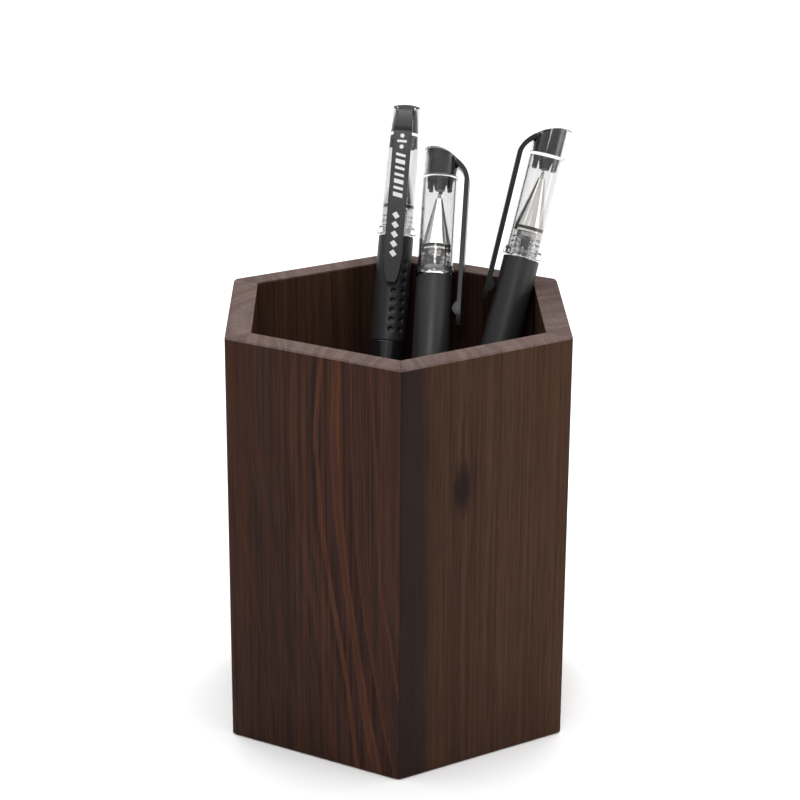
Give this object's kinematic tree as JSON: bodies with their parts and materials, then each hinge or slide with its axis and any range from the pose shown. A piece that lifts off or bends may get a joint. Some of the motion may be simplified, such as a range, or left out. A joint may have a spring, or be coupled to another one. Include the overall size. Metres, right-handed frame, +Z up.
{
  "type": "desk organizer",
  "caption": "Six-sided wooden pen cup built from mitred staves on a let-in floor, holding capped gel pens that lift out and uncap.",
  "frame": {"origin": "middle of the cup's underside, on the plane it stands on", "axes": "+Z up; -Y towards the front corner of the hexagon, so that +X and -X each point square at one side wall"},
  "size_m": [0.0874, 0.1038, 0.1467],
  "materials": {
    "walnut_stave": "dark oiled walnut, lighter on the end grain",
    "walnut_floor": "dark walnut, matt",
    "barrel_black": "black, glossy",
    "plug_black": "black, glossy",
    "grip_rubber": "black, matt",
    "clear_plastic": "clear polystyrene",
    "chromed_cone": "bright chrome",
    "seal_rubber": "black, matt",
    "refill_plastic": "milky polypropylene",
    "follower_grease": "pale amber grease",
    "black_ink": "black gel ink",
    "tip_metal": "nickel silver",
    "ball_carbide": "tungsten carbide",
    "clip_black": "black, satin gloss",
    "liner_black": "black"
  },
  "bodies": {
    "cup": {"floor_panel": "walnut_floor", "stave_back_left": "walnut_stave", "stave_back_right": "walnut_stave", "stave_front_left": "walnut_stave", "stave_front_right": "walnut_stave", "stave_left": "walnut_stave", "stave_right": "walnut_stave"},
    "left_pen": {"left_ball": "ball_carbide", "left_barrel": "barrel_black", "left_end_plug": "plug_black", "left_grease": "follower_grease", "left_grip": "grip_rubber", "left_ink": "black_ink", "left_neck_ring": "seal_rubber", "left_nose_cone": "chromed_cone", "left_refill_tube": "refill_plastic", "left_section": "clear_plastic", "left_tip": "tip_metal"},
    "left_cap": {"left_cap_tube": "clear_plastic", "left_clip": "clip_black", "left_tip_seal": "liner_black"},
    "middle_pen": {"middle_ball": "ball_carbide", "middle_barrel": "barrel_black", "middle_end_plug": "plug_black", "middle_grease": "follower_grease", "middle_grip": "grip_rubber", "middle_ink": "black_ink", "middle_neck_ring": "seal_rubber", "middle_nose_cone": "chromed_cone", "middle_refill_tube": "refill_plastic", "middle_section": "clear_plastic", "middle_tip": "tip_metal"},
    "middle_cap": {"middle_cap_tube": "clear_plastic", "middle_clip": "clip_black", "middle_tip_seal": "liner_black"},
    "right_pen": {"right_ball": "ball_carbide", "right_barrel": "barrel_black", "right_end_plug": "plug_black", "right_grease": "follower_grease", "right_grip": "grip_rubber", "right_ink": "black_ink", "right_neck_ring": "seal_rubber", "right_nose_cone": "chromed_cone", "right_refill_tube": "refill_plastic", "right_section": "clear_plastic", "right_tip": "tip_metal"},
    "right_cap": {"right_cap_tube": "clear_plastic", "right_clip": "clip_black", "right_tip_seal": "liner_black"}
  },
  "joints": [
    {"name": "left_pen_lift", "type": "slide", "parent": "cup", "child": "left_pen", "axis": [0, 0, 1], "range_m": [0, 0.105]},
    {"name": "middle_pen_lift", "type": "slide", "parent": "cup", "child": "middle_pen", "axis": [0, 0, 1], "range_m": [0, 0.105]},
    {"name": "right_pen_lift", "type": "slide", "parent": "cup", "child": "right_pen", "axis": [0.2447, 0.3187, 0.9157], "range_m": [0, 0.115]},
    {"name": "left_cap_pull", "type": "slide", "parent": "left_pen", "child": "left_cap", "axis": [0.0839, 0.3781, 0.922], "range_m": [0, 0.03]},
    {"name": "middle_cap_pull", "type": "slide", "parent": "middle_pen", "child": "middle_cap", "axis": [0.065, 0.5223, 0.8503], "range_m": [0, 0.03]},
    {"name": "right_cap_pull", "type": "slide", "parent": "right_pen", "child": "right_cap", "axis": [0.2447, 0.3187, 0.9157], "range_m": [0, 0.03]}
  ]
}
